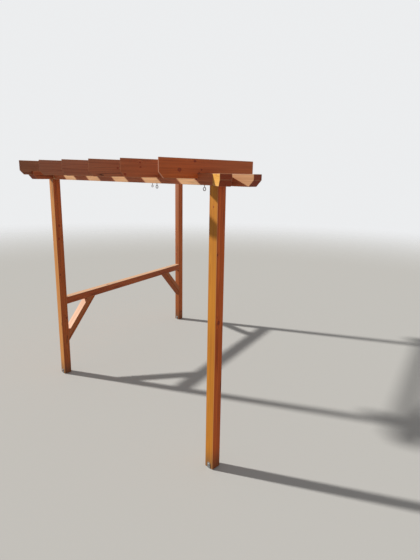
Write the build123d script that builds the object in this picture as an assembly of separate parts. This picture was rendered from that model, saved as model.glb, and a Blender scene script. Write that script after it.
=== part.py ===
from build123d import *
from math import atan2, cos, degrees, hypot, radians, sin
import os

# Garden pergola on three posts, millimetres, +Z up.
# The origin is on the floor, under the middle of the corner post.
# X runs along the front beam and Y along the rafters, towards the back.

# Timber sections
POST = 100.0
BEAM_WIDTH = 100.0
BEAM_HEIGHT = 100.0
RAFTER_THICKNESS = 45.0
RAFTER_DEPTH = 170.0
RAIL_SECTION = 100.0
BRACE_WIDTH = 100.0
BRACE_DEPTH = 100.0

# Where the posts stand, in plan: middle of each post
CORNER_POST = (0.0, 0.0)
FRONT_POST = (3007.0, 0.0)
REAR_POST = (-752.0, 2859.0)

# Heights above the floor
BEAM_UNDERSIDE = 2765.0
RAIL_TOP = 1135.0

# How far each beam runs past the middle of its end posts
FRONT_BEAM_PAST = 438.0
SIDE_BEAM_PAST = 365.0
DIAGONAL_BEAM_PAST = 393.0

# Sawn slopes on the lower corner of the ends
BEAM_SLOPE = 52.0
RAFTER_SLOPE = 50.0

# Rafters, counted from the front post towards the corner post
RAFTER_COUNT = 6
FIRST_RAFTER_BACK = 199.0
LAST_RAFTER_AHEAD = 103.0
RAFTER_NEAR_PAST = 497.0
RAFTER_FAR_PAST = 494.0
RAFTER_NOTCH = 45.0

# Braces below the rail: open side of the triangle above each brace
CORNER_BRACE_OPEN_LEG = 405.0
REAR_BRACE_OPEN_LEG = 360.0

# Joint clearances
LAP_CLEARANCE = 0.3
NOTCH_CLEARANCE = 0.5
HOLE_CLEARANCE = 0.3

# Post anchors: one flat bar bent into a U under each post
ANCHOR_BAR_WIDTH = 35.0
ANCHOR_BAR_THICKNESS = 4.0
ANCHOR_RISE = 64.0
ANCHOR_CORNER = 8.0
ANCHOR_BOLT_DIAMETER = 10.0
ANCHOR_BOLT_HEIGHT = 40.0
BOLT_HEAD_FLATS = 17.0
BOLT_HEAD_THICKNESS = 6.4
BOLT_NUT_THICKNESS = 8.0
BOLT_TAIL = 3.0

# Screw eyes under the front beam, measured back from the front post
EYE_BACKS = (165.0, 840.0, 912.0)
EYE_TURNS = (0.0, 0.0, 90.0)
EYE_NAMES = ("end", "middle", "small")
EYE_RING_RADII = (15.0, 15.0, 10.0)
EYE_WIRES = (3.6, 3.6, 2.8)
EYE_NECK = 20.0
EYE_SHANK = 50.0
EYE_HOLE_EXTRA = 3.0

# Reach of the cutting solids past the timber they shape
REACH = 40.0

BEAM_TOP = BEAM_UNDERSIDE + BEAM_HEIGHT
LAP_LEVEL = BEAM_UNDERSIDE + BEAM_HEIGHT / 2
RAFTER_UNDERSIDE = BEAM_TOP - RAFTER_NOTCH
RAFTER_TOP = RAFTER_UNDERSIDE + RAFTER_DEPTH
RAIL_UNDERSIDE = RAIL_TOP - RAIL_SECTION
FIRST_RAFTER_FACE = FRONT_POST[0] - FIRST_RAFTER_BACK
LAST_RAFTER_FACE = CORNER_POST[0] + LAST_RAFTER_AHEAD
RAFTER_PITCH = (FIRST_RAFTER_FACE - LAST_RAFTER_FACE) / (RAFTER_COUNT - 1)


def save(solid, node):
    """Write one piece under its own name."""
    solid.label = node
    export_step(solid, "parts/" + node + ".step")


def block(low_x, high_x, low_y, high_y, low_z, high_z):
    """A box between two values on each axis."""
    size = (high_x - low_x, high_y - low_y, high_z - low_z)
    middle = ((low_x + high_x) / 2, (low_y + high_y) / 2, (low_z + high_z) / 2)
    return Pos(*middle) * Box(*size)


class Line:
    """The centre line of a bar, in plan, from one post to another."""

    def __init__(self, start, end):
        self.start = start
        self.dx = end[0] - start[0]
        self.dy = end[1] - start[1]
        self.length = hypot(self.dx, self.dy)
        self.angle = atan2(self.dy, self.dx)

    def place(self):
        """Frame with X along the bar, Z up, at the start post on the floor."""
        turn = Location((0, 0, 0), (0, 0, degrees(self.angle)))
        return Location((self.start[0], self.start[1], 0)) * turn

    def y_at(self, x):
        """Y of the centre line at one X."""
        return self.start[1] + (x - self.start[0]) * self.dy / self.dx

    def strip(self, past, width, low_z, high_z):
        """A straight square-ended bar along the line, in plan."""
        half = width / 2
        bar = block(-past, self.length + past, -half, half, low_z, high_z)
        return self.place() * bar


FRONT_LINE = Line(CORNER_POST, FRONT_POST)
SIDE_LINE = Line(CORNER_POST, REAR_POST)
DIAGONAL_LINE = Line(REAR_POST, FRONT_POST)


def profile_bar(outline, thickness):
    """A bar whose side outline lies in XZ, centred on Y."""
    face = Plane.XZ * make_face(Polyline(*outline, close=True))
    return extrude(face, amount=thickness / 2, both=True)


def sloped_beam(line, past):
    """A level beam along the line, its lower end corners sawn to a slope."""
    low = -past
    high = line.length + past
    outline = [
        (low, BEAM_TOP),
        (low, BEAM_UNDERSIDE + BEAM_SLOPE),
        (low + BEAM_SLOPE, BEAM_UNDERSIDE),
        (high - BEAM_SLOPE, BEAM_UNDERSIDE),
        (high, BEAM_UNDERSIDE + BEAM_SLOPE),
        (high, BEAM_TOP),
    ]
    return line.place() * profile_bar(outline, BEAM_WIDTH)


def near(solid, post):
    """The part of a cutting solid that is close to one post."""
    span = 2.2 * BEAM_WIDTH
    room = block(
        post[0] - span,
        post[0] + span,
        post[1] - span,
        post[1] + span,
        BEAM_UNDERSIDE - REACH,
        BEAM_TOP + REACH,
    )
    return solid & room


def lap(beam, crossing, past, post, keep_lower):
    """Halve a beam where another one crosses it over a post."""
    wide = BEAM_WIDTH + 2 * LAP_CLEARANCE
    if keep_lower:
        tool = crossing.strip(past + REACH, wide, LAP_LEVEL, BEAM_TOP + REACH)
    else:
        tool = crossing.strip(past + REACH, wide, BEAM_UNDERSIDE - REACH, LAP_LEVEL)
    return beam - near(tool, post)


def make_beams():
    """The three beams at one level, halved over the posts."""
    front = sloped_beam(FRONT_LINE, FRONT_BEAM_PAST)
    front = lap(front, SIDE_LINE, SIDE_BEAM_PAST, CORNER_POST, True)
    front = lap(front, DIAGONAL_LINE, DIAGONAL_BEAM_PAST, FRONT_POST, True)

    side = sloped_beam(SIDE_LINE, SIDE_BEAM_PAST)
    side = lap(side, FRONT_LINE, FRONT_BEAM_PAST, CORNER_POST, False)
    side = lap(side, DIAGONAL_LINE, DIAGONAL_BEAM_PAST, REAR_POST, True)

    diagonal = sloped_beam(DIAGONAL_LINE, DIAGONAL_BEAM_PAST)
    diagonal = lap(diagonal, FRONT_LINE, FRONT_BEAM_PAST, FRONT_POST, False)
    diagonal = lap(diagonal, SIDE_LINE, SIDE_BEAM_PAST, REAR_POST, False)
    return front, side, diagonal


def notch_tool(line, past):
    """The room one beam needs under a rafter, with sawing clearance."""
    wide = BEAM_WIDTH + 2 * NOTCH_CLEARANCE
    low = RAFTER_UNDERSIDE - REACH
    return line.strip(past + NOTCH_CLEARANCE, wide, low, BEAM_TOP)


def end_waste(side_x, side_y, outward):
    """What is sawn off a rafter end: a skew plumb cut and a slope below it.

    The cut runs parallel to the diagonal beam through one point of the
    rafter's front-post side. Outward is -1 for the near end, 1 for the far.
    """
    run = outward * RAFTER_SLOPE * cos(DIAGONAL_LINE.angle)
    beyond = outward * REACH * 3
    high = RAFTER_TOP + REACH
    low = RAFTER_UNDERSIDE - REACH
    outline = [
        (0, high),
        (0, RAFTER_UNDERSIDE + RAFTER_SLOPE),
        (-run, RAFTER_UNDERSIDE),
        (-run, low),
        (beyond, low),
        (beyond, high),
    ]
    face = Plane.YZ * make_face(Polyline(*outline, close=True))
    waste = extrude(face, amount=RAFTER_THICKNESS * 3, both=True)
    turn = Location((0, 0, 0), (0, 0, degrees(DIAGONAL_LINE.angle)))
    return Location((side_x, side_y, 0)) * turn * waste


def make_rafter(face_x):
    """One rafter board on edge, notched over every beam it crosses."""
    skew = BEAM_WIDTH / 2 / cos(DIAGONAL_LINE.angle)
    near_y = -RAFTER_NEAR_PAST
    far_y = DIAGONAL_LINE.y_at(face_x) + skew + RAFTER_FAR_PAST
    board = block(
        face_x - RAFTER_THICKNESS,
        face_x,
        near_y - REACH,
        far_y + REACH,
        RAFTER_UNDERSIDE,
        RAFTER_TOP,
    )
    board -= end_waste(face_x, near_y, -1)
    board -= end_waste(face_x, far_y, 1)
    board -= notch_tool(FRONT_LINE, FRONT_BEAM_PAST)
    board -= notch_tool(DIAGONAL_LINE, DIAGONAL_BEAM_PAST)
    board -= notch_tool(SIDE_LINE, SIDE_BEAM_PAST)
    return board


def bolt_hole(post):
    """Bore for the anchor bolt, along Y through one post."""
    radius = ANCHOR_BOLT_DIAMETER / 2 + HOLE_CLEARANCE
    bore = Rot(90, 0, 0) * Cylinder(radius, POST + 2 * REACH)
    return Pos(post[0], post[1], ANCHOR_BOLT_HEIGHT) * bore


def make_post(post):
    """A square post standing in its anchor."""
    half = POST / 2
    timber = block(
        post[0] - half,
        post[0] + half,
        post[1] - half,
        post[1] + half,
        ANCHOR_BAR_THICKNESS,
        BEAM_UNDERSIDE,
    )
    return timber - bolt_hole(post)


def make_anchor(post):
    """A U of flat bar under a post, its two tips with clipped corners."""
    inner = POST / 2 + HOLE_CLEARANCE
    outer = inner + ANCHOR_BAR_THICKNESS
    half = ANCHOR_BAR_WIDTH / 2
    shape = block(-half, half, -outer, outer, 0, ANCHOR_RISE)
    shape -= block(-half - 1, half + 1, -inner, inner, ANCHOR_BAR_THICKNESS, ANCHOR_RISE + 1)
    tips = shape.edges().filter_by(Axis.Y)
    tips = tips.filter_by(lambda edge: edge.center().Z > ANCHOR_RISE - 0.1)
    shape = chamfer(tips, ANCHOR_CORNER)
    bends = shape.edges().filter_by(Axis.X)
    bends = bends.filter_by(lambda edge: edge.center().Z < 0.1)
    shape = fillet(bends, ANCHOR_BAR_THICKNESS * 0.9)
    shape = Pos(post[0], post[1], 0) * shape
    return shape - bolt_hole(post)


def make_anchor_bolt(post):
    """Hexagon bolt and nut through both tips of an anchor."""
    face = POST / 2 + HOLE_CLEARANCE + ANCHOR_BAR_THICKNESS
    flats = BOLT_HEAD_FLATS / 2
    hexagon = Plane.XZ * RegularPolygon(flats, 6, major_radius=False)
    head = Pos(0, -face, 0) * extrude(hexagon, amount=BOLT_HEAD_THICKNESS)
    nut = Pos(0, face, 0) * extrude(hexagon, amount=-BOLT_NUT_THICKNESS)
    low = -face - BOLT_HEAD_THICKNESS / 2
    high = face + BOLT_NUT_THICKNESS + BOLT_TAIL
    shank = Rot(90, 0, 0) * Cylinder(ANCHOR_BOLT_DIAMETER / 2, high - low)
    shank = Pos(0, (low + high) / 2, 0) * shank
    return Pos(post[0], post[1], ANCHOR_BOLT_HEIGHT) * (head + shank + nut)


def timber_between_posts(section, low_z, high_z):
    """A level bar on the side line, cut to fit between two post faces."""
    bar = SIDE_LINE.strip(0, section, low_z, high_z)
    return bar & side_room()


def side_room():
    """The space between the facing sides of the corner and rear posts."""
    low_y = CORNER_POST[1] + POST / 2
    high_y = REAR_POST[1] - POST / 2
    wide = abs(REAR_POST[0]) + POST * 3
    return block(-wide, wide, low_y, high_y, 0, BEAM_UNDERSIDE)


def make_brace(at_rear, open_leg):
    """A square brace at 45 degrees, its ends cut to the post and the rail."""
    lean = sin(abs(SIDE_LINE.angle - radians(90)))
    post_face = POST / 2 / cos(SIDE_LINE.angle - radians(90))
    reach = open_leg + BRACE_DEPTH / sin(radians(45)) + BRACE_WIDTH * lean
    upper_rail = post_face + open_leg
    upper_post = RAIL_UNDERSIDE - open_leg
    across = BRACE_DEPTH / sin(radians(45))
    outline = [
        (upper_rail + BRACE_WIDTH, RAIL_UNDERSIDE + BRACE_WIDTH),
        (upper_rail + BRACE_WIDTH + across, RAIL_UNDERSIDE + BRACE_WIDTH),
        (post_face - BRACE_WIDTH, upper_post - BRACE_WIDTH - across),
        (post_face - BRACE_WIDTH, upper_post - BRACE_WIDTH),
    ]
    if at_rear:
        outline = [(SIDE_LINE.length - s, z) for s, z in outline]
    bar = SIDE_LINE.place() * profile_bar(outline, BRACE_WIDTH)
    low_z = RAIL_UNDERSIDE - reach - BRACE_WIDTH
    below_rail = block(-4000, 4000, -1000, 4000, low_z, RAIL_UNDERSIDE)
    return bar & side_room() & below_rail


def make_eye(station, turn, ring_radius, wire):
    """A screw eye: a ring of round bar on a straight shank."""
    drop = EYE_NECK + ring_radius
    ring = Rot(90, 0, 0) * Torus(ring_radius, wire)
    neck_low = -drop + ring_radius
    shank_height = EYE_SHANK - neck_low
    shank = Pos(0, 0, neck_low + shank_height / 2) * Cylinder(wire, shank_height)
    eye = Pos(0, 0, -drop) * ring + shank
    eye = Rot(0, 0, turn) * eye
    return Pos(station, CORNER_POST[1], BEAM_UNDERSIDE) * eye


def eye_hole(station, wire):
    """Blind bore in the front beam for one screw eye."""
    depth = EYE_SHANK + EYE_HOLE_EXTRA
    bore = Cylinder(wire + HOLE_CLEARANCE, depth)
    return Pos(station, CORNER_POST[1], BEAM_UNDERSIDE + depth / 2) * bore


os.makedirs("parts", exist_ok=True)

# Posts, anchors and anchor bolts
for name, post in (("corner", CORNER_POST), ("front", FRONT_POST), ("rear", REAR_POST)):
    save(make_post(post), name + "_post")
    save(make_anchor(post), name + "_post_anchor")
    save(make_anchor_bolt(post), name + "_anchor_bolt")

# Beams and screw eyes
front_beam, side_beam, diagonal_beam = make_beams()
for i in range(len(EYE_BACKS)):
    station = FRONT_POST[0] - EYE_BACKS[i]
    front_beam -= eye_hole(station, EYE_WIRES[i])
    eye_solid = make_eye(station, EYE_TURNS[i], EYE_RING_RADII[i], EYE_WIRES[i])
    save(eye_solid, EYE_NAMES[i] + "_screw_eye")
save(front_beam, "front_beam")
save(side_beam, "side_beam")
save(diagonal_beam, "diagonal_beam")

# Rafters
for i in range(RAFTER_COUNT):
    face_x = FIRST_RAFTER_FACE - i * RAFTER_PITCH
    save(make_rafter(face_x), "rafter_" + str(i + 1))

# Rail and braces
save(timber_between_posts(RAIL_SECTION, RAIL_UNDERSIDE, RAIL_TOP), "side_rail")
save(make_brace(False, CORNER_BRACE_OPEN_LEG), "corner_brace")
save(make_brace(True, REAR_BRACE_OPEN_LEG), "rear_brace")
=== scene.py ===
"""Garden pergola of stained timber: looks, floor, lamps and camera."""

import logging
import math
import random
from dataclasses import dataclass, field, replace
from enum import Enum
from typing import Any, Mapping, Sequence

import bmesh
import bpy
from mathutils import Euler, Matrix, Vector

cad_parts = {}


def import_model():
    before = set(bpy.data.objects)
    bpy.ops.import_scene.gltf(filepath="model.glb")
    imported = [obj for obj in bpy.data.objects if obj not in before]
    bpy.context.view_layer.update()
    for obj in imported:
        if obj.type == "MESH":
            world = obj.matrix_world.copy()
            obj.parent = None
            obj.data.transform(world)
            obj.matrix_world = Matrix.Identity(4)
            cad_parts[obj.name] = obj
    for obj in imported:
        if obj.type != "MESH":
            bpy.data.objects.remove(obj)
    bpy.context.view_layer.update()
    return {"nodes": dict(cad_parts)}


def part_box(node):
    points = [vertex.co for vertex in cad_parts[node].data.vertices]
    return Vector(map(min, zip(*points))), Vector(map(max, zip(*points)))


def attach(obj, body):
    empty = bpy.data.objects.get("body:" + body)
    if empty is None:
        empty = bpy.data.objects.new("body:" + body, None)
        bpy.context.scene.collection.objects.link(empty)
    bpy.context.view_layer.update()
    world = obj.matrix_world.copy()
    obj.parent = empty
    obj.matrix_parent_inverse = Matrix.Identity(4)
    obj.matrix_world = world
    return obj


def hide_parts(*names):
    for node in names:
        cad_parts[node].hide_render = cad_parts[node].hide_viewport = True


LOG = logging.getLogger("pergola")
ARRIS = "arris"
TURN = 2.0 * math.pi
POST_PLACES = {"corner": (0.0, 0.0), "front": (3.007, 0.0), "rear": (-0.752, 2.859)}
Pair = tuple[float, float]
Triple = tuple[float, float, float]
Colour = tuple[float, float, float]
Spot = tuple[float, float, float, float]


class Run(Enum):
    """The way the fibres of a timber run."""

    ALONG_X = "x"
    ALONG_Y = "y"
    UPRIGHT = "z"


class Slot(Enum):
    """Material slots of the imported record."""

    TIMBER = "stained_timber"
    STEEL = "galvanised_steel"


class Value:
    """A number socket that takes part in plain arithmetic."""

    def __init__(self, bench: "Bench", socket: bpy.types.NodeSocket) -> None:
        """Keep the bench that owns the socket.

        Args:
            bench: The bench whose tree holds the socket.
            socket: The output socket that carries the number.
        """
        self.bench = bench
        self.socket = socket

    def _maths(self, operation: str, *terms: "Value | float") -> "Value":
        """Add one Math node.

        Args:
            operation: The Math node's operation.
            terms: Its inputs, in order.

        Returns:
            The node's result.
        """
        inputs = dict(enumerate(terms))
        node = self.bench.add("ShaderNodeMath", {"operation": operation}, inputs)
        return Value(self.bench, node.outputs[0])

    def __add__(self, other: "Value | float") -> "Value":
        """This value plus another."""
        return self._maths("ADD", self, other)

    def __radd__(self, other: float) -> "Value":
        """A number plus this value."""
        return self._maths("ADD", other, self)

    def __sub__(self, other: "Value | float") -> "Value":
        """This value less another."""
        return self._maths("SUBTRACT", self, other)

    def __rsub__(self, other: float) -> "Value":
        """A number less this value."""
        return self._maths("SUBTRACT", other, self)

    def __mul__(self, other: "Value | float") -> "Value":
        """This value times another."""
        return self._maths("MULTIPLY", self, other)

    def __rmul__(self, other: float) -> "Value":
        """A number times this value."""
        return self._maths("MULTIPLY", other, self)

    def __truediv__(self, other: "Value | float") -> "Value":
        """This value over another."""
        return self._maths("DIVIDE", self, other)

    def __pow__(self, power: float) -> "Value":
        """This value to a power."""
        return self._maths("POWER", self, power)

    def __abs__(self) -> "Value":
        """This value without its sign."""
        return self._maths("ABSOLUTE", self)

    def larger(self, other: "Value | float") -> "Value":
        """The larger of two values."""
        return self._maths("MAXIMUM", self, other)

    def sine(self) -> "Value":
        """The sine of this value."""
        return self._maths("SINE", self)

    def root(self) -> "Value":
        """The square root of this value."""
        return self._maths("SQRT", self)

    def bearing(self, across: "Value") -> "Value":
        """The angle of a point at this height and that distance across."""
        return self._maths("ARCTAN2", self, across)

    def step(self, low: float, high: float) -> "Value":
        """Rise smoothly from 0 to 1, or fall where low is above high.

        Args:
            low: Where the result is 0.
            high: Where the result is 1.

        Returns:
            A value from 0 to 1.
        """
        node = self.bench.add(
            "ShaderNodeMapRange",
            {"interpolation_type": "SMOOTHSTEP"},
            {"Value": self, "From Min": low, "From Max": high},
        )
        return Value(self.bench, node.outputs[0])


class Bench:
    """Lays the nodes of one tree."""

    def __init__(self, tree: bpy.types.NodeTree) -> None:
        """Start from an empty tree.

        Args:
            tree: The tree to fill.
        """
        self.tree = tree
        tree.nodes.clear()

    def add(
        self,
        kind: str,
        settings: Mapping[str, Any] | None = None,
        inputs: Mapping[int | str, Any] | None = None,
    ) -> bpy.types.Node:
        """Add any node.

        Args:
            kind: The node's type.
            settings: Its settings, such as an operation, set first.
            inputs: Values or links of its sockets, by index or name.

        Returns:
            The new node.
        """
        node = self.tree.nodes.new(kind)
        for name, setting in (settings or {}).items():
            setattr(node, name, setting)
        for key, given in (inputs or {}).items():
            if isinstance(given, Value):
                self.tree.links.new(given.socket, node.inputs[key])
            elif isinstance(given, bpy.types.NodeSocket):
                self.tree.links.new(given, node.inputs[key])
            else:
                node.inputs[key].default_value = given
        return node

    def vector(self, operation: str, *terms: Any) -> bpy.types.NodeSocket:
        """Add one Vector Math node and return its vector.

        Args:
            operation: The node's operation.
            terms: Its inputs, in order.

        Returns:
            The vector output.
        """
        inputs = dict(enumerate(terms))
        node = self.add("ShaderNodeVectorMath", {"operation": operation}, inputs)
        return node.outputs[0]

    def measure(self, operation: str, *terms: Any) -> Value:
        """Add one Vector Math node and return its number.

        Args:
            operation: LENGTH, DISTANCE or DOT_PRODUCT.
            terms: Its inputs, in order.

        Returns:
            The number output.
        """
        inputs = dict(enumerate(terms))
        node = self.add("ShaderNodeVectorMath", {"operation": operation}, inputs)
        return Value(self, node.outputs[1])

    def split(self, vector: bpy.types.NodeSocket) -> list[Value]:
        """Three numbers of a vector."""
        node = self.add("ShaderNodeSeparateXYZ", inputs={0: vector})
        return [Value(self, output) for output in node.outputs]

    def cloud(self, vector: Any, stretch: Triple, shift: float, detail: float) -> Value:
        """Noise on stretched coordinates.

        Args:
            vector: The coordinates.
            stretch: Waves per metre along each axis.
            shift: A shift that makes each timber its own.
            detail: Octaves of the noise.

        Returns:
            A value around a half.
        """
        offset = (shift, shift * 1.7, shift * 2.3)
        moved = self.vector("MULTIPLY_ADD", vector, stretch, offset)
        inputs = {"Vector": moved, "Scale": 1.0, "Detail": detail}
        return Value(self, self.add("ShaderNodeTexNoise", inputs=inputs).outputs[0])

    def blend(self, low: Any, high: Any, factor: Any) -> bpy.types.NodeSocket:
        """Mix two colours.

        Args:
            low: The colour at 0, a triple or a socket.
            high: The colour at 1, a triple or a socket.
            factor: The share of the second colour.

        Returns:
            The mixed colour.
        """
        inputs = {0: factor, 6: opaque(low), 7: opaque(high)}
        return self.add("ShaderNodeMix", {"data_type": "RGBA"}, inputs).outputs[2]

    def finish(self, shader: bpy.types.NodeSocket) -> None:
        """Join the last shader to the surface."""
        self.add("ShaderNodeOutputMaterial", inputs={"Surface": shader})


def tinted(colour: Colour, tint: Colour) -> Colour:
    """A colour multiplied by a tint."""
    return tuple(part * share for part, share in zip(colour, tint))


def opaque(colour: Any) -> Any:
    """A colour triple with its alpha, or a socket as it is."""
    return (*colour, 1.0) if isinstance(colour, tuple) and len(colour) == 3 else colour


@dataclass(frozen=True)
class Knot:
    """One branch knot, in the timber's own coordinates, in metres."""

    place: Triple
    radius: float


@dataclass(frozen=True)
class PaintedShadows:
    """Slanting strips of a beam's side that the rafters shelter.

    They repeat along X up to the limit. Past it the side gets a little less of the pale
    sunlit colour, and one corner carries the painted shadow of the end of another beam.
    """

    middle: float
    pitch: float
    height: float
    lean: float
    depth: float
    limit: float
    corner: float
    corner_lean: float
    outer_depth: float


@dataclass(frozen=True)
class Grain:
    """Where a timber lies and how its fibres run.

    The timber's own first axis runs along its fibres.
    """

    middle: Triple
    turn: Triple
    half: Triple
    pith: Pair
    seed: int
    knots: tuple[Knot, ...] = ()
    foot: bool = False
    # Height of the sloping part of a painted highlight at the near end; 0 for none.
    highlight_slope: float = 0.0
    shade_tint: Colour = (1.0, 1.0, 1.0)
    # sun_tint and fade set the pale colour on sides that face the key lamp: part sun fade,
    # part painted sunlight.
    sun_tint: Colour = (1.0, 1.0, 1.0)
    fade: float = 0.85
    # Painted shadows of the rafters on this side, if any.
    strips: PaintedShadows | None = None

    def axis(self) -> Vector:
        """Direction of the fibres in the shared frame."""
        return Euler(self.turn).to_matrix() @ Vector((1, 0, 0))

    def inside(self, point: Vector) -> Vector:
        """A point of the shared frame in the timber's own coordinates."""
        return Euler(self.turn).to_matrix().transposed() @ (point - Vector(self.middle))


@dataclass(frozen=True)
class StainedTimber:
    """Planed softwood under a translucent orange-brown stain."""

    light: Colour = (0.80, 0.220, 0.056)
    dark: Colour = (0.47, 0.104, 0.026)
    # Pale colour of the sides that face the key lamp: part sun fade, part painted sunlight.
    faded_and_lit: Colour = (0.90, 0.430, 0.172)
    # Pale tops: dust, with painted sheen of the key lamp and sky.
    dust_and_sheen: Colour = (0.84, 0.600, 0.390)
    knot: Colour = (0.28, 0.028, 0.009)
    heart: Colour = (0.40, 0.060, 0.018)
    end: Colour = (0.285, 0.040, 0.009)
    arris: Colour = (0.70, 0.380, 0.200)
    # Pale line at a near saw cut: painted highlight for a sunlit end face.
    pale_edge: Colour = (0.90, 0.430, 0.270)
    soil: Colour = (0.16, 0.095, 0.055)
    crack: Colour = (0.05, 0.018, 0.010)
    specular: float = 0.35
    coat: float = 0.12
    coat_roughness: float = 0.28
    relief: float = 0.45
    relief_depth: float = 0.0012
    ring_gap: float = 0.0052
    broad_rings: float = 3.7
    seed_shift: float = 3.7
    rim_width: float = 0.0075
    highlight_width: float = 0.009
    splash_height: float = 0.26
    # Direction of the key lamp: sides facing it get the pale colour, which is partly
    # painted sunlight.
    sunny: Triple = (-0.62, -0.62, 0.48)
    # Painted shade: sides facing -X, which the key lamp lights most squarely, get a deeper
    # pale colour.
    painted_shade_side: Triple = (-1.0, 0.0, 0.0)

    def make(self, name: str, grain: Grain) -> bpy.types.Material:
        """Build the material of one timber.

        Args:
            name: The material's name.
            grain: The timber's place, fibres and knots.

        Returns:
            The finished material.
        """
        material = bpy.data.materials.new(name)
        material.use_nodes = True
        bench = Bench(material.node_tree)
        local = self._local(bench, grain)
        u, v, w = bench.split(local)
        shift = self.seed_shift * grain.seed
        knots, hearts, swirl = self._knots(bench, local, grain, shift)
        rings = self._rings(bench, local, v, w, grain, swirl, shift)
        streak = bench.cloud(local, (1.1, 42.0, 42.0), shift, 3.0)
        patch = bench.cloud(local, (1.6, 7.0, 7.0), shift + 9.0, 2.0)
        fibre = bench.cloud(local, (14.0, 420.0, 420.0), shift + 5.0, 2.0)
        end = self._end_share(bench, grain)
        spokes = self._spokes(bench, local, v, w, grain, shift)
        crack = self._cracks(bench, local, shift) * (1.0 - end) + spokes * end

        tone = streak.step(0.30, 0.72) * 0.42 + rings * 0.62
        tone = tone + patch.step(0.35, 0.70) * 0.20 + (fibre - 0.5) * 0.35
        light = tinted(self.light, grain.shade_tint)
        dark = tinted(self.dark, grain.shade_tint)
        colour = bench.blend(light, dark, tone)
        colour = self._fade_and_painted_light(bench, colour, tone, patch, grain)
        mark = bench.add("ShaderNodeAttribute", {"attribute_name": ARRIS})
        eased = Value(bench, mark.outputs[2])
        rim = (self._rim(v, w, grain) * 0.35 + eased * 0.65) * (0.40 + streak * 0.6)
        colour = self._saw_cuts(bench, colour, rings, end)
        colour = bench.blend(colour, self.arris, rim)
        # Painted highlight: a pale line along the near end stands in for the sunlit end
        # face.
        if grain.highlight_slope > 0.0:
            pale_edge = self._end_highlight(u, w, grain)
            colour = bench.blend(colour, self.pale_edge, pale_edge)
        if grain.foot:
            colour = self._splash(bench, colour, u, patch, streak, grain)
        branch = bench.blend(self.knot, self.heart, hearts)
        colour = bench.blend(colour, branch, knots * (0.65 + streak * 0.4))
        colour = bench.blend(colour, self.crack, crack * 0.85)

        height = fibre * 0.30 + rings * 0.22 + knots * 0.25 - crack * 1.6
        bump = bench.add(
            "ShaderNodeBump",
            inputs={
                "Strength": self.relief,
                "Distance": self.relief_depth,
                "Height": height,
            },
        )
        rough = 0.40 + streak * 0.16 + patch * 0.10 + crack * 0.2
        shader = bench.add(
            "ShaderNodeBsdfPrincipled",
            inputs={
                "Base Color": colour,
                "Roughness": rough,
                "Normal": bump.outputs[0],
                "Specular IOR Level": self.specular,
                "Coat Weight": self.coat,
                "Coat Roughness": self.coat_roughness,
            },
        )
        bench.finish(shader.outputs[0])
        return material

    def _local(self, bench: Bench, grain: Grain) -> bpy.types.NodeSocket:
        """Coordinates of the timber itself, fibres along the first axis.

        Args:
            bench: The bench to work on.
            grain: Where the timber lies.

        Returns:
            The turned coordinates.
        """
        place = bench.add("ShaderNodeTexCoord").outputs["Object"]
        inputs = {"Vector": place, "Location": grain.middle, "Rotation": grain.turn}
        return bench.add("ShaderNodeMapping", {"vector_type": "TEXTURE"}, inputs).outputs[0]

    def _knots(
        self, bench: Bench, local: Any, grain: Grain, shift: float
    ) -> tuple[Value, Value, Value]:
        """Masks of the knots and of the grain that bends round them.

        Args:
            bench: The bench to work on.
            local: The timber's coordinates.
            grain: The timber's knots.
            shift: The timber's own shift.

        Returns:
            A mask that is 1 in a knot, one of its paler heart, and a gentle
            swell around it.
        """
        zero = bench.measure("LENGTH", (0.0, 0.0, 0.0))
        mask, heart, swell = zero, zero, zero
        wobble = (bench.cloud(local, (60.0, 90.0, 90.0), shift + 13.0, 1.0) - 0.5) * 0.7
        for knot in grain.knots:
            away = bench.vector("SUBTRACT", local, knot.place)
            scale = 1.0 / knot.radius
            away = bench.vector("MULTIPLY", away, (scale / 1.35, scale, scale))
            reach = bench.measure("LENGTH", away) + wobble
            mask = mask.larger(reach.step(1.30, 0.60))
            heart = heart.larger(reach.step(0.75, 0.15))
            swell = swell + reach.step(4.2, 0.6)
        return mask, heart, swell

    def _rings(
        self,
        bench: Bench,
        local: Any,
        v: Value,
        w: Value,
        grain: Grain,
        swirl: Value,
        shift: float,
    ) -> Value:
        """Yearly rings round the pith, which show on faces as long figure.

        Args:
            bench: The bench to work on.
            local: The timber's coordinates.
            v: Distance across, first way.
            w: Distance across, second way.
            grain: Holds the pith's place.
            swirl: The swell round the knots.
            shift: The timber's own shift.

        Returns:
            A value from 0 to 1, high in the dark late wood.
        """
        wander = (bench.cloud(local, (1.3, 5.0, 5.0), shift + 2.0, 2.0) - 0.5) * 0.022
        across = v - grain.pith[0] + wander
        through = w - grain.pith[1] - wander
        reach = (across * across + through * through).root() + swirl * 0.006
        wave = (reach * (TURN / self.ring_gap)).sine() * 0.5 + 0.5
        broad = (reach * (TURN / (self.ring_gap * self.broad_rings))).sine() * 0.5 + 0.5
        return (wave**2.2) * 0.75 + broad * 0.25

    def _cracks(self, bench: Bench, local: Any, shift: float) -> Value:
        """Short drying cracks that follow the fibres.

        Args:
            bench: The bench to work on.
            local: The timber's coordinates.
            shift: The timber's own shift.

        Returns:
            A mask that is 1 in a crack.
        """
        line = abs(bench.cloud(local, (0.35, 20.0, 20.0), shift + 21.0, 1.0) - 0.5)
        where = bench.cloud(local, (1.1, 4.0, 4.0), shift + 31.0, 0.0)
        return line.step(0.0070, 0.002) * where.step(0.58, 0.66)

    def _rim(self, v: Value, w: Value, grain: Grain) -> Value:
        """A mask along the four long arrises, where the stain is thin.

        Args:
            v: Distance across, first way.
            w: Distance across, second way.
            grain: Holds the half sizes.

        Returns:
            A mask that is 1 at an arris.
        """
        beside = abs(v) * -1.0 + grain.half[1]
        above = abs(w) * -1.0 + grain.half[2]
        inwards = beside.larger(0.0) + above.larger(0.0)
        return inwards.step(self.rim_width, 0.002)

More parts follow.
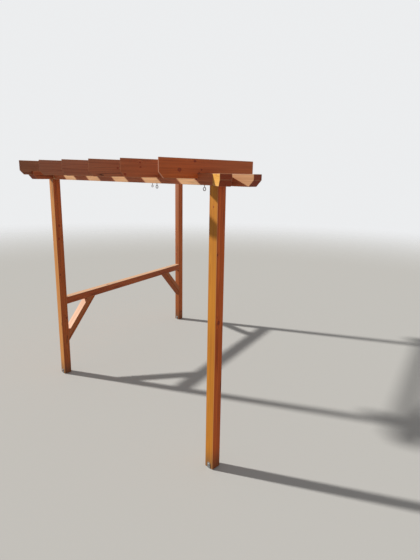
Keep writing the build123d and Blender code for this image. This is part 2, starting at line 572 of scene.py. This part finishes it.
    def _end_highlight(self, u: Value, w: Value, grain: Grain) -> Value:
        """A painted highlight along the near saw cut and the slope below it: a pale line in
        place of a sunlit end face.

        Args:
            u: Distance along the fibres.
            w: Height from the timber's middle.
            grain: Holds the half sizes and the slope's height.

        Returns:
            A mask that is 1 at the cut and 0 a few millimetres behind it.
        """
        behind_cut = u + grain.half[0]
        corner = grain.half[0] + grain.half[2] - grain.highlight_slope
        behind_slope = (u + w + corner) * 0.7071
        ahead = (behind_cut * -1.0).larger(behind_slope * -1.0)
        return ahead.step(-self.highlight_width, -0.005)

    def _fade_and_painted_light(
        self, bench: Bench, colour: Any, tone: Value, patch: Value, grain: Grain
    ) -> bpy.types.NodeSocket:
        """Pale the sides that face the key lamp, partly sun fade and partly painted
        sunlight, with painted shade on the side it lights most squarely, and put dust and
        painted sheen on the tops.

        Args:
            bench: The bench to work on.
            colour: The stain before fade and painted light.
            tone: The mix of light and dark wood.
            patch: Broad noise.
            grain: The timber.

        Returns:
            The colour with fade, dust and painted light.
        """
        normal = bench.add("ShaderNodeNewGeometry").outputs["Normal"]
        # Painted sunlight, with some sun fade: sides facing the key lamp take the pale
        # colour.
        facing = bench.measure("DOT_PRODUCT", normal, self.sunny).step(0.05, 0.70)
        # Painted shade on the sides that the key lamp lights most squarely.
        painted_shade_share = bench.measure("DOT_PRODUCT", normal, self.painted_shade_side).step(0.50, 0.90)
        pale = tinted(self.faded_and_lit, grain.sun_tint)
        deep = tinted(pale, (0.60, 0.42, 0.30))
        faded_and_lit = bench.blend(pale, deep, tone * 0.62 + painted_shade_share * 0.38)
        share = facing * grain.fade
        # Painted shadows: less of the pale colour where the rafters' shadows fall.
        if grain.strips:
            share = share * self._unshadowed_share(bench, grain.strips)
        colour = bench.blend(colour, faded_and_lit, share)
        # Tops: dust with painted sheen.
        upward = bench.split(normal)[2].step(0.55, 0.95)
        return bench.blend(colour, self.dust_and_sheen, upward * (0.45 + patch * 0.5))

    def _unshadowed_share(self, bench: Bench, strips: PaintedShadows) -> Value:
        """How much of the pale sunlit colour each place of the side keeps outside the
        painted shadows.

        Args:
            bench: The bench to work on.
            strips: Where the painted shadows lie.

        Returns:
            A value that is 1 in the open and lower in a painted shadow.
        """
        x, _, z = bench.split(bench.add("ShaderNodeTexCoord").outputs["Object"])
        rise = z - strips.height
        along = x + rise * strips.lean - strips.middle
        wave = (along * (TURN / strips.pitch) + TURN / 4).sine()
        # Painted shadow of another beam's end on one corner of the side.
        corner = (x + rise * strips.corner_lean - strips.corner).step(0.012, -0.012)
        outer = x.step(strips.limit - 0.03, strips.limit)
        shadow_mask = wave.step(-0.40, 0.15) * (1.0 - outer) + corner * outer
        return 1.0 - (shadow_mask * strips.depth).larger(outer * strips.outer_depth)

    def _end_share(self, bench: Bench, grain: Grain) -> Value:
        """A mask of the faces sawn across the fibres.

        Args:
            bench: The bench to work on.
            grain: Holds the direction of the fibres.

        Returns:
            A mask that is 1 on end grain.
        """
        normal = bench.add("ShaderNodeNewGeometry").outputs["Normal"]
        facing = bench.measure("DOT_PRODUCT", normal, tuple(grain.axis()))
        return abs(facing).step(0.50, 0.68)

    def _spokes(
        self,
        bench: Bench,
        local: Any,
        v: Value,
        w: Value,
        grain: Grain,
        shift: float,
    ) -> Value:
        """Drying checks on end grain, which run out from the pith.

        Args:
            bench: The bench to work on.
            local: The timber's coordinates.
            v: Distance across, first way.
            w: Distance across, second way.
            grain: Holds the pith's place.
            shift: The timber's own shift.

        Returns:
            A mask that is 1 in a check.
        """
        across, up = v - grain.pith[0], w - grain.pith[1]
        stray = bench.cloud(local, (25.0, 45.0, 45.0), shift + 41.0, 1.0)
        wheel = (up.bearing(across) * 9.0 + stray + shift).sine()
        reach = (across * across + up * up).root()
        return wheel.step(0.965, 0.997) * reach.step(0.004, 0.02) * stray.step(0.42, 0.52)

    def _saw_cuts(self, bench: Bench, colour: Any, rings: Value, end: Value) -> Any:
        """Darken end grain, which takes up more stain.

        Args:
            bench: The bench to work on.
            colour: The colour of the long sides.
            rings: The yearly rings.
            end: The share of end grain.

        Returns:
            The colour with dark ends.
        """
        wood = bench.blend(self.end, tinted(self.end, (1.9, 1.7, 1.3)), rings * 0.7)
        return bench.blend(colour, wood, end * 0.85)

    def _splash(
        self,
        bench: Bench,
        colour: Any,
        u: Value,
        patch: Value,
        streak: Value,
        grain: Grain,
    ) -> bpy.types.NodeSocket:
        """Soil that rain has splashed up the foot of a post.

        Args:
            bench: The bench to work on.
            colour: The colour before dirt.
            u: Height along the post from its middle.
            patch: Broad noise.
            streak: Noise along the fibres.
            grain: The post.

        Returns:
            The colour with a dirty foot.
        """
        height = u + grain.half[0] + (patch - 0.5) * 0.10
        dirt = height.step(self.splash_height, 0.0) * (0.35 + streak * 0.6)
        return bench.blend(colour, self.soil, dirt)


@dataclass(frozen=True)
class ZincCoat:
    """Dull hot-dip zinc with a fine spangle."""

    bright: Colour = (0.56, 0.575, 0.59)
    grey: Colour = (0.34, 0.35, 0.36)
    chalk: Colour = (0.68, 0.68, 0.66)
    spangle: float = 150.0
    metallic: float = 0.8
    relief: float = 0.25
    relief_depth: float = 0.0004

    def make(self, name: str) -> bpy.types.Material:
        """Build the material.

        Args:
            name: The material's name.

        Returns:
            The finished material.
        """
        material = bpy.data.materials.new(name)
        material.use_nodes = True
        bench = Bench(material.node_tree)
        place = bench.add("ShaderNodeTexCoord").outputs["Object"]
        cells = bench.add(
            "ShaderNodeTexVoronoi", inputs={"Vector": place, "Scale": self.spangle}
        )
        shade = bench.split(cells.outputs["Color"])[0]
        haze = bench.cloud(place, (30.0, 30.0, 30.0), 4.0, 3.0)
        colour = bench.blend(self.grey, self.bright, shade * 0.7 + haze * 0.3)
        colour = bench.blend(colour, self.chalk, haze.step(0.52, 0.75) * 0.6)
        bump = bench.add(
            "ShaderNodeBump",
            inputs={
                "Strength": self.relief,
                "Distance": self.relief_depth,
                "Height": shade + haze,
            },
        )
        shader = bench.add(
            "ShaderNodeBsdfPrincipled",
            inputs={
                "Base Color": colour,
                "Metallic": self.metallic,
                "Roughness": 0.36 + shade * 0.12 + haze * 0.18,
                "Normal": bump.outputs[0],
            },
        )
        bench.finish(shader.outputs[0])
        return material


@dataclass
class Workshop:
    """Turns CAD nodes into dressed pieces and keeps count of them."""

    nodes: Mapping[str, bpy.types.Object]
    stain: StainedTimber = field(default_factory=StainedTimber)
    zinc: ZincCoat = field(default_factory=ZincCoat)
    arris: float = 0.003
    arris_segments: int = 2
    merge_reach: float = 1e-5
    flat_angle: float = math.radians(0.5)
    sharp_angle: float = math.radians(20)
    on_arris: float = 0.0006
    end_reach: float = 0.075
    made: list[str] = field(default_factory=list)
    steel: bpy.types.Material | None = None

    def metal(self) -> bpy.types.Material:
        """The one zinc material, made when it is first asked for.

        Returns:
            The material that all metal pieces share.
        """
        if self.steel is None:
            self.steel = self.zinc.make("zinc_coat")
        return self.steel

    def timber(self, node: str, grain: Grain) -> bpy.types.Object:
        """Replace a timber node by a copy with eased arrises.

        Args:
            node: The CAD node.
            grain: Where the timber lies.

        Returns:
            The new piece.
        """
        shape = bmesh.new()
        shape.from_mesh(self.nodes[node].data)
        bmesh.ops.remove_doubles(shape, verts=shape.verts, dist=self.merge_reach)
        bmesh.ops.dissolve_limit(
            shape, angle_limit=self.flat_angle, verts=shape.verts, edges=shape.edges
        )
        pale_edge = shape.faces.layers.float.new(ARRIS)
        edges = [edge for edge in shape.edges if self._is_arris(edge, grain)]
        eased = bmesh.ops.bevel(
            shape,
            geom=edges,
            offset=self.arris,
            offset_type="OFFSET",
            segments=self.arris_segments,
            profile=0.5,
            affect="EDGES",
            clamp_overlap=True,
            material=-1,
        )
        for face in eased["faces"]:
            face[pale_edge] = 1.0
        piece = self.place(shape, node + "_timber", Slot.TIMBER)
        piece.data.materials.append(self.stain.make("stain_" + node, grain))
        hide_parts(node)
        return piece

    def _is_arris(self, edge: bmesh.types.BMEdge, grain: Grain) -> bool:
        """Tell the outer arrises of a timber from the edges of its joints.

        Args:
            edge: An edge of the merged copy.
            grain: Where the timber lies.

        Returns:
            Whether a plane would be run along the edge.
        """
        if len(edge.link_faces) != 2 or not edge.is_convex:
            return False
        if edge.calc_face_angle(0.0) < self.sharp_angle:
            return False
        ends = [grain.inside(vert.co) for vert in edge.verts]
        half = Vector(grain.half)
        gaps = [abs(abs(point[way]) - half[way]) for point in ends for way in (1, 2)]
        on_side = all(gap < self.on_arris for gap in gaps)
        at_end = all(abs(point.x) > half.x - self.end_reach for point in ends)
        return on_side or at_end

    def place(self, shape: bmesh.types.BMesh, name: str, slot: Slot) -> bpy.types.Object:
        """Make an object of a mesh and let it ride on the frame.

        Args:
            shape: The mesh, which is freed.
            name: The piece's name.
            slot: The record's slot; not used.

        Returns:
            The new object.
        """
        mesh = bpy.data.meshes.new(name)
        shape.to_mesh(mesh)
        shape.free()
        piece = bpy.data.objects.new(name, mesh)
        bpy.context.scene.collection.objects.link(piece)
        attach(piece, "root")
        self.made.append(name)
        LOG.info("made %s, %d faces", name, len(mesh.polygons))
        return piece

    def coat(self, node: str) -> None:
        """Give a CAD node the zinc finish.

        Args:
            node: The CAD node.
        """
        target = self.nodes[node]
        target.data.materials.clear()
        target.data.materials.append(self.metal())
        LOG.info("coated %s", node)


def scattered(seed: int, half: Triple, count: int, sizes: Pair) -> tuple[Knot, ...]:
    """Knots at the surface of a timber, at steady but uneven spacing.

    Args:
        seed: Seed of the draw.
        half: Half sizes of the timber.
        count: How many knots.
        sizes: Smallest and largest radius.

    Returns:
        The knots.
    """
    draw = random.Random(seed)
    knots = []
    for index in range(count):
        share = (index + 0.5 + draw.uniform(-0.35, 0.35)) / count
        u = (share * 2.0 - 1.0) * half[0] * 0.97
        side = draw.choice((-1.0, 1.0))
        if draw.random() < half[2] / (half[1] + half[2]):
            place = (u, side * half[1], draw.uniform(-0.7, 0.7) * half[2])
        else:
            place = (u, draw.uniform(-0.7, 0.7) * half[1], side * half[2])
        knots.append(Knot(place, draw.uniform(*sizes)))
    return tuple(knots)


def seen(grain: Grain, spots: Sequence[Spot]) -> tuple[Knot, ...]:
    """Knots where the photograph shows them.

    Args:
        grain: The timber they belong to.
        spots: Places in the shared frame, each with a radius.

    Returns:
        The knots in the timber's own coordinates.
    """
    return tuple(Knot(tuple(grain.inside(Vector(spot[:3]))), spot[3]) for spot in spots)


def turned(run: Run) -> Triple:
    """The turn that lays a timber's own first axis along a direction.

    Args:
        run: The direction.

    Returns:
        The turn as Euler angles.
    """
    turns = {
        Run.ALONG_X: (0.0, 0.0, 0.0),
        Run.ALONG_Y: (0.0, 0.0, math.pi / 2),
        Run.UPRIGHT: (0.0, -math.pi / 2, 0.0),
    }
    return turns[run]


@dataclass
class Posts:
    """Three square posts."""

    places: Mapping[str, Pair]
    section: float = 0.100
    low: float = 0.004
    high: float = 2.765
    first_seed: int = 11
    knot_count: int = 8
    knot_sizes: Pair = (0.009, 0.017)
    piths: Sequence[Pair] = ((0.012, -0.010), (-0.018, 0.022), (0.030, 0.008))
    shade_tints: Sequence[Colour] = (
        (0.92, 0.86, 0.72),
        (1.25, 0.88, 0.38),
        (1.05, 0.95, 0.85),
    )
    sun_tints: Sequence[Colour] = (
        (0.90, 0.90, 0.60),
        (0.72, 0.70, 0.14),
        # Rear post: its sides facing the key lamp are painted deeper, as painted shade of
        # trees.
        (0.40, 0.27, 0.15),
    )
    seen_knots: Mapping[str, Sequence[Spot]] = field(
        default_factory=lambda: {
            "front": (
                (3.057, -0.008, 1.528, 0.015),
                (3.057, -0.038, 2.167, 0.009),
                (3.007, -0.050, 2.583, 0.007),
            )
        }
    )

    def build(self, shop: Workshop) -> None:
        """Dress each post.

        Args:
            shop: The workshop that makes the pieces.
        """
        half = ((self.high - self.low) / 2, self.section / 2, self.section / 2)
        middle = (self.high + self.low) / 2
        for index, (name, place) in enumerate(self.places.items()):
            seed = self.first_seed + index
            grain = Grain(
                middle=(*place, middle),
                turn=turned(Run.UPRIGHT),
                half=half,
                pith=self.piths[index],
                seed=seed,
                knots=scattered(seed, half, self.knot_count, self.knot_sizes),
                foot=True,
                shade_tint=self.shade_tints[index],
                sun_tint=self.sun_tints[index],
            )
            if name in self.seen_knots:
                spots = self.seen_knots[name]
                hidden = tuple(
                    knot for knot in grain.knots if max(knot.place[1:]) >= half[1]
                )
                grain = replace(grain, knots=hidden + seen(grain, spots))
            shop.timber(name + "_post", grain)


@dataclass(frozen=True)
class BeamPlan:
    """One beam: the posts it joins, its reach past them, and its wood."""

    start: str
    stop: str
    past: float
    pith: Pair
    shade_tint: Colour
    sun_tint: Colour
    strips: PaintedShadows | None = None


@dataclass
class Beams:
    """Three level beams that cross over the posts."""

    places: Mapping[str, Pair]
    section: float = 0.100
    underside: float = 2.765
    first_seed: int = 21
    knot_count: int = 8
    knot_sizes: Pair = (0.009, 0.016)
    # Painted shadows of the rafters and of the diagonal beam's end on the front beam's
    # side.
    strips: PaintedShadows = PaintedShadows(
        middle=2.915,
        pitch=0.541,
        height=2.815,
        lean=1.44,
        depth=0.80,
        limit=3.12,
        corner=3.277,
        corner_lean=2.34,
        outer_depth=0.22,
    )
    front: BeamPlan = BeamPlan(
        start="corner",
        stop="front",
        past=0.438,
        pith=(0.02, -0.03),
        shade_tint=(0.78, 0.60, 0.80),
        sun_tint=(0.93, 1.32, 1.75),
        strips=strips,
    )
    side: BeamPlan = BeamPlan(
        start="corner",
        stop="rear",
        past=0.365,
        pith=(-0.03, 0.01),
        shade_tint=(0.78, 0.85, 1.30),
        sun_tint=(0.95, 1.15, 1.30),
    )
    diagonal: BeamPlan = BeamPlan(
        start="rear",
        stop="front",
        past=0.393,
        pith=(0.01, 0.035),
        shade_tint=(0.95, 0.85, 0.75),
        sun_tint=(1.02, 1.30, 0.65),
    )

    def build(self, shop: Workshop) -> None:
        """Dress each beam.

        Args:
            shop: The workshop that makes the pieces.
        """
        plans = {"front": self.front, "side": self.side, "diagonal": self.diagonal}
        half_section = self.section / 2
        for index, (name, plan) in enumerate(plans.items()):
            seed = self.first_seed + index
            low = Vector(self.places[plan.start])
            high = Vector(self.places[plan.stop])
            along = high - low
            middle = (low + high) / 2
            half = (along.length / 2 + plan.past, half_section, half_section)
            grain = Grain(
                middle=(middle.x, middle.y, self.underside + half_section),
                turn=(0.0, 0.0, math.atan2(along.y, along.x)),
                half=half,
                pith=plan.pith,
                seed=seed,
                knots=scattered(seed, half, self.knot_count, self.knot_sizes),
                shade_tint=plan.shade_tint,
                sun_tint=plan.sun_tint,
                strips=plan.strips,
            )
            shop.timber(name + "_beam", grain)


@dataclass
class Rafters:
    """Six boards on edge, notched over the beams."""

    count: int = 6
    thickness: float = 0.045
    depth: float = 0.170
    underside: float = 2.820
    first_seed: int = 31
    fewest_knots: int = 3
    knot_sizes: Pair = (0.008, 0.015)
    # Rafters further back get a darker, bluer stain: painted shade from the rafters in
    # front and painted reflection of blue sky.
    shade_tints: Sequence[Colour] = (
        (1.10, 0.97, 0.95),
        (0.84, 0.98, 1.65),
        (0.73, 1.00, 2.10),
        (0.71, 1.06, 2.50),
        (0.64, 1.00, 2.40),
        (0.58, 0.98, 2.20),
    )
    # Height of the sloping part of rafter 1's painted end highlight.
    slope: float = 0.050
    seen_knots: Sequence[Sequence[Spot]] = (
        (
            (2.808, -0.267, 2.892, 0.017),
            (2.808, -0.088, 2.969, 0.012),
            (2.808, -0.007, 2.896, 0.008),
            (2.808, -0.038, 2.862, 0.014),
        ),
        (
            (2.267, -0.446, 2.847, 0.011),
            (2.267, -0.277, 2.955, 0.008),
            (2.267, -0.272, 2.914, 0.009),
        ),
        ((1.726, -0.159, 2.907, 0.010),),
    )

    def build(self, shop: Workshop) -> None:
        """Dress each rafter.

        Args:
            shop: The workshop that makes the pieces.
        """
        for index in range(self.count):
            name = "rafter_" + str(index + 1)
            low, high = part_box(name)
            half = ((high[1] - low[1]) / 2, self.thickness / 2, self.depth / 2)
            middle_x, middle_y = ((low[way] + high[way]) / 2 for way in (0, 1))
            seed = self.first_seed + index
            knot_count = self.fewest_knots + index // 2
            grain = Grain(
                middle=(middle_x, middle_y, self.underside + self.depth / 2),
                turn=turned(Run.ALONG_Y),
                half=half,
                pith=(0.06 if index % 2 else -0.05, 0.11 - 0.035 * index),
                seed=seed,
                knots=scattered(seed, half, knot_count, self.knot_sizes),
                highlight_slope=0.0 if index else self.slope,
                shade_tint=self.shade_tints[index],
            )
            if index < len(self.seen_knots):
                grain = replace(grain, knots=seen(grain, self.seen_knots[index]))
            shop.timber(name, grain)


@dataclass
class SideRail:
    """The level rail between two posts and the braces under it."""

    places: Mapping[str, Pair]
    section: float = 0.100
    top: float = 1.135
    rail_seed: int = 41
    brace_seed: int = 42
    brace_half: float = 0.45
    brace_knots: float = 0.30
    lean: float = math.pi / 4

    def build(self, shop: Workshop) -> None:
        """Dress the rail and both braces.

        Args:
            shop: The workshop that makes the pieces.
        """
        along = Vector(self.places["rear"]) - Vector(self.places["corner"])
        angle = math.atan2(along.y, along.x)
        half_section = self.section / 2
        middle = along / 2
        half = (along.length / 2 - half_section, half_section, half_section)
        grain = Grain(
            middle=(middle.x, middle.y, self.top - half_section),
            turn=(0.0, 0.0, angle),
            half=half,
            pith=(0.035, -0.02),
            seed=self.rail_seed,
            knots=scattered(self.rail_seed, half, 6, (0.009, 0.016)),
            shade_tint=(0.84, 0.72, 0.70),
            sun_tint=(0.95, 0.78, 0.55),
        )
        shop.timber("side_rail", grain)
        knot_half = (self.brace_knots, half_section, half_section)
        leans = {"corner_brace": -self.lean, "rear_brace": self.lean}
        for index, (name, lean) in enumerate(leans.items()):
            low, high = (Vector(corner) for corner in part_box(name))
            turn = Matrix.Rotation(angle, 3, "Z") @ Matrix.Rotation(lean, 3, "Y")
            seed = self.brace_seed + index
            grain = Grain(
                middle=tuple((low + high) / 2),
                turn=tuple(turn.to_euler()),
                half=(self.brace_half, half_section, half_section),
                pith=(0.02, 0.03),
                seed=seed,
                knots=scattered(seed, knot_half, 3, (0.008, 0.014)),
                shade_tint=(0.80, 0.66, 0.25),
            )
            shop.timber(name, grain)


@dataclass
class Ironwork:
    """Post anchors, their bolts and the screw eyes."""

    posts: Sequence[str] = ("corner", "front", "rear")
    eyes: Sequence[str] = ("end", "middle", "small")

    def build(self, shop: Workshop) -> None:
        """Coat every metal node.

        Args:
            shop: The workshop that makes the pieces.
        """
        for name in self.posts:
            shop.coat(name + "_post_anchor")
            shop.coat(name + "_anchor_bolt")
        for name in self.eyes:
            shop.coat(name + "_screw_eye")


@dataclass
class Studio:
    """Pale floor, soft lamps and the photograph's point of view."""

    floor_colour: Colour = (0.56, 0.56, 0.55)
    floor_bounce: Colour = (0.32, 0.32, 0.31)
    air: Colour = (0.84, 0.85, 0.86)
    sky: Colour = (1.0, 0.985, 0.97)
    sun: Colour = (1.0, 0.965, 0.90)
    floor_half: float = 30.0
    floor_middle: Pair = (1.2, 1.4)
    floor_drop: float = 0.0005
    fade: Pair = (9.0, 22.0)
    fill: float = 0.30
    mirrored: float = 0.35
    key: float = 4.1
    key_angle: float = 2.5
    light_run: Triple = (1.44, 0.778, -1.0)
    eye: Triple = (5.717, -2.833, 2.854)
    bearing: float = 45.47
    pitch: float = 13.35
    roll: float = 0.97
    focal_pixels: float = 443.02
    long_side: float = 560.0
    sensor: float = 36.0
    clip: Pair = (0.05, 200.0)

    def build(self) -> None:
        """Set up floor, world, lamps and camera."""
        self._floor()
        self._world()
        self._lamps()
        self._camera()
        bpy.context.scene.view_settings.view_transform = "Standard"

    def _floor(self) -> None:
        """A large pale sheet that fades out far from the object."""
        shape = bmesh.new()
        bmesh.ops.create_circle(shape, cap_ends=True, segments=96, radius=self.floor_half)
        centre = (*self.floor_middle, -self.floor_drop)
        bmesh.ops.translate(shape, verts=shape.verts, vec=centre)
        mesh = bpy.data.meshes.new("studio_floor")
        shape.to_mesh(mesh)
        shape.free()
        floor = bpy.data.objects.new("studio_floor", mesh)
        bpy.context.scene.collection.objects.link(floor)
        material = bpy.data.materials.new("pale_floor")
        material.use_nodes = True
        bench = Bench(material.node_tree)
        place = bench.add("ShaderNodeTexCoord").outputs["Object"]
        flat = bench.vector("MULTIPLY", place, (1.0, 1.0, 0.0))
        reach = bench.measure("DISTANCE", flat, (*self.floor_middle, 0.0))
        seen = Value(bench, bench.add("ShaderNodeLightPath").outputs["Is Camera Ray"])
        colour = bench.blend(self.floor_bounce, self.floor_colour, seen)
        paint = bench.add("ShaderNodeBsdfDiffuse", inputs={"Color": colour})
        clear = bench.add("ShaderNodeBsdfTransparent")
        inputs = {0: reach.step(*self.fade), 1: paint.outputs[0], 2: clear.outputs[0]}
        bench.finish(bench.add("ShaderNodeMixShader", inputs=inputs).outputs[0])
        mesh.materials.append(material)

    def _world(self) -> None:
        """Even light from all round, and a pale background to look at."""
        world = bpy.data.worlds.new("studio_air")
        world.use_nodes = True
        bpy.context.scene.world = world
        bench = Bench(world.node_tree)
        rays = bench.add("ShaderNodeLightPath")
        seen = Value(bench, rays.outputs["Is Camera Ray"])
        glossy = Value(bench, rays.outputs["Is Glossy Ray"])
        through = Value(bench, rays.outputs["Is Transmission Ray"])
        shown = seen.larger(through).larger(glossy * self.mirrored)
        light = {"Color": opaque(self.sky), "Strength": self.fill}
        lit = bench.add("ShaderNodeBackground", inputs=light)
        backdrop = {"Color": opaque(self.air), "Strength": 1.0}
        pale = bench.add("ShaderNodeBackground", inputs=backdrop)
        inputs = {0: shown, 1: lit.outputs[0], 2: pale.outputs[0]}
        mixed = bench.add("ShaderNodeMixShader", inputs=inputs)
        bench.add("ShaderNodeOutputWorld", inputs={"Surface": mixed.outputs[0]})

    def _lamps(self) -> None:
        """One warm key from the front left."""
        lamp = bpy.data.lights.new("key", "SUN")
        lamp.energy = self.key
        lamp.angle = math.radians(self.key_angle)
        lamp.color = self.sun
        holder = bpy.data.objects.new("key", lamp)
        holder.rotation_mode = "QUATERNION"
        holder.rotation_quaternion = Vector(self.light_run).to_track_quat("-Z", "Y")
        bpy.context.scene.collection.objects.link(holder)

    def _camera(self) -> None:
        """The camera at the photograph's place and lens."""
        angles = (self.bearing, self.pitch, self.roll)
        bearing, pitch, roll = (math.radians(angle) for angle in angles)
        level = Vector((-math.cos(bearing), math.sin(bearing), 0.0))
        right = Vector((math.sin(bearing), math.cos(bearing), 0.0))
        up = Vector((0.0, 0.0, 1.0))
        ahead = level * math.cos(pitch) - up * math.sin(pitch)
        above = level * math.sin(pitch) + up * math.cos(pitch)
        side = right * math.cos(roll) + above * math.sin(roll)
        head = above * math.cos(roll) - right * math.sin(roll)
        data = bpy.data.cameras.new("photo_camera")
        data.sensor_width = self.sensor
        data.lens = self.focal_pixels / self.long_side * data.sensor_width
        data.clip_start, data.clip_end = self.clip
        camera = bpy.data.objects.new("photo_camera", data)
        turn = Matrix((side, head, -ahead)).transposed()
        camera.matrix_world = Matrix.Translation(self.eye) @ turn.to_4x4()
        bpy.context.scene.collection.objects.link(camera)
        bpy.context.scene.camera = camera


def main() -> None:
    """Build every sub-assembly in order."""
    logging.basicConfig(level=logging.INFO, format="%(name)s: %(message)s")
    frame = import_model()
    Studio().build()
    shop = Workshop(nodes=frame["nodes"])
    places = POST_PLACES
    for part in (Posts(places), Beams(places), Rafters(), SideRail(places), Ironwork()):
        part.build(shop)
    LOG.info("%d pieces made", len(shop.made))


if __name__ == "__main__":
    main()
